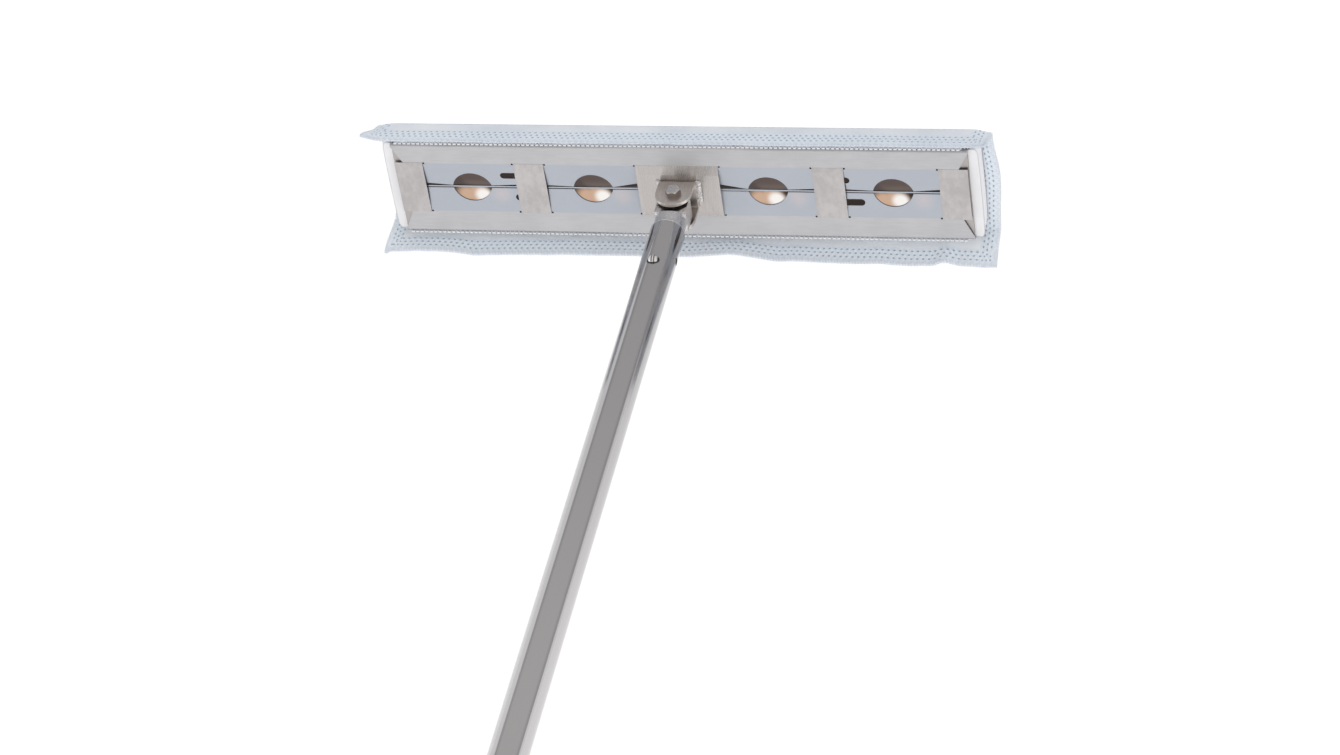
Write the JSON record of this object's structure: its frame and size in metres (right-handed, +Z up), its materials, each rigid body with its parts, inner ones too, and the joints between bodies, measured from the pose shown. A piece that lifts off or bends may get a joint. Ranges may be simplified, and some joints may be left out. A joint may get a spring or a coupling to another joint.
{
  "type": "window cleaning pole",
  "caption": "Telescopic pole with a swivelling rectangular stainless head that carries a wrap-round microfibre window pad.",
  "frame": {"origin": "centre of the pad's working face", "axes": "X along the head, Z up across the head, +Y out of the working face; the pole runs back along -Y"},
  "size_m": [0.456, 1.2605, 0.0957],
  "materials": {
    "stainless_sheet": "satin stainless sheet",
    "stainless_straps": "satin stainless sheet, slightly warmer",
    "bracket_steel": "brushed stainless plate",
    "weld_metal": "rippled weld bead",
    "plated_fasteners": "bright plated steel",
    "spring_steel": "drawn spring wire",
    "black_steel": "black oxide",
    "bush_bronze": "sintered bronze",
    "cast_lug": "cast, tumbled",
    "polished_tube": "polished tube",
    "white_plastic": "moulded, satin",
    "hook_tape": "woven hook tape",
    "pad_backing_cloth": "knitted backing, pale ice blue",
    "microfibre_pile": "short microfibre pile",
    "black_rubber": "moulded rubber",
    "black_plastic": "glass-filled nylon, fine grain",
    "grey_plastic": "acetal",
    "lever_plastic": "moulded, satin"
  },
  "bodies": {
    "lower_pole": {"lower_tube": "polished_tube", "tube_insert": "grey_plastic", "clamp_collar": "black_plastic", "clamp_screw": "plated_fasteners", "clamp_nut": "plated_fasteners", "cam_washer": "plated_fasteners", "barrel_pin": "plated_fasteners", "grip_sleeve": "black_rubber", "pole_end_cap": "black_plastic"},
    "upper_pole": {"upper_tube": "polished_tube", "guide_cup": "black_plastic", "swivel_lug": "cast_lug", "lug_bush": "bush_bronze", "plug_grub_screw": "black_steel", "button_spring": "spring_steel"},
    "head": {"frame_channel": "stainless_sheet", "frame_straps": "stainless_straps", "end_walls": "stainless_straps", "centre_rib": "stainless_sheet", "end_cap_left": "white_plastic", "end_cap_right": "white_plastic", "hook_tape_front": "hook_tape", "hook_tape_top": "hook_tape", "hook_tape_bottom": "hook_tape", "pad_backing": "pad_backing_cloth", "pad_pile": "microfibre_pile", "hinge_bracket": "bracket_steel", "bracket_welds": "weld_metal", "swivel_bolt": "plated_fasteners", "nut_washer": "plated_fasteners", "swivel_nut": "plated_fasteners", "friction_washers": "black_rubber"},
    "button": {"snap_button": "plated_fasteners"},
    "clamp_lever": {"cam_lever": "lever_plastic"}
  },
  "joints": [
    {"name": "telescope", "type": "slide", "parent": "lower_pole", "child": "upper_pole", "axis": [0, 1, 0], "range_m": [-0.35, 0.06]},
    {"name": "head_swivel", "type": "hinge", "parent": "upper_pole", "child": "head", "pos_m": [0, -0.042, 0], "axis": [0, 0, 1], "range_deg": [-85, 85]},
    {"name": "button_press", "type": "slide", "parent": "upper_pole", "child": "button", "axis": [0, 0, -1], "range_m": [0, 0.004], "stiffness_N_per_m": 1500, "springref_m": -0.003, "deforming": ["button_spring"]},
    {"name": "lever_open", "type": "hinge", "parent": "lower_pole", "child": "clamp_lever", "pos_m": [0.0255, -0.6505, 0.0163], "axis": [0, 1, 0], "range_deg": [0, 150]}
  ]
}
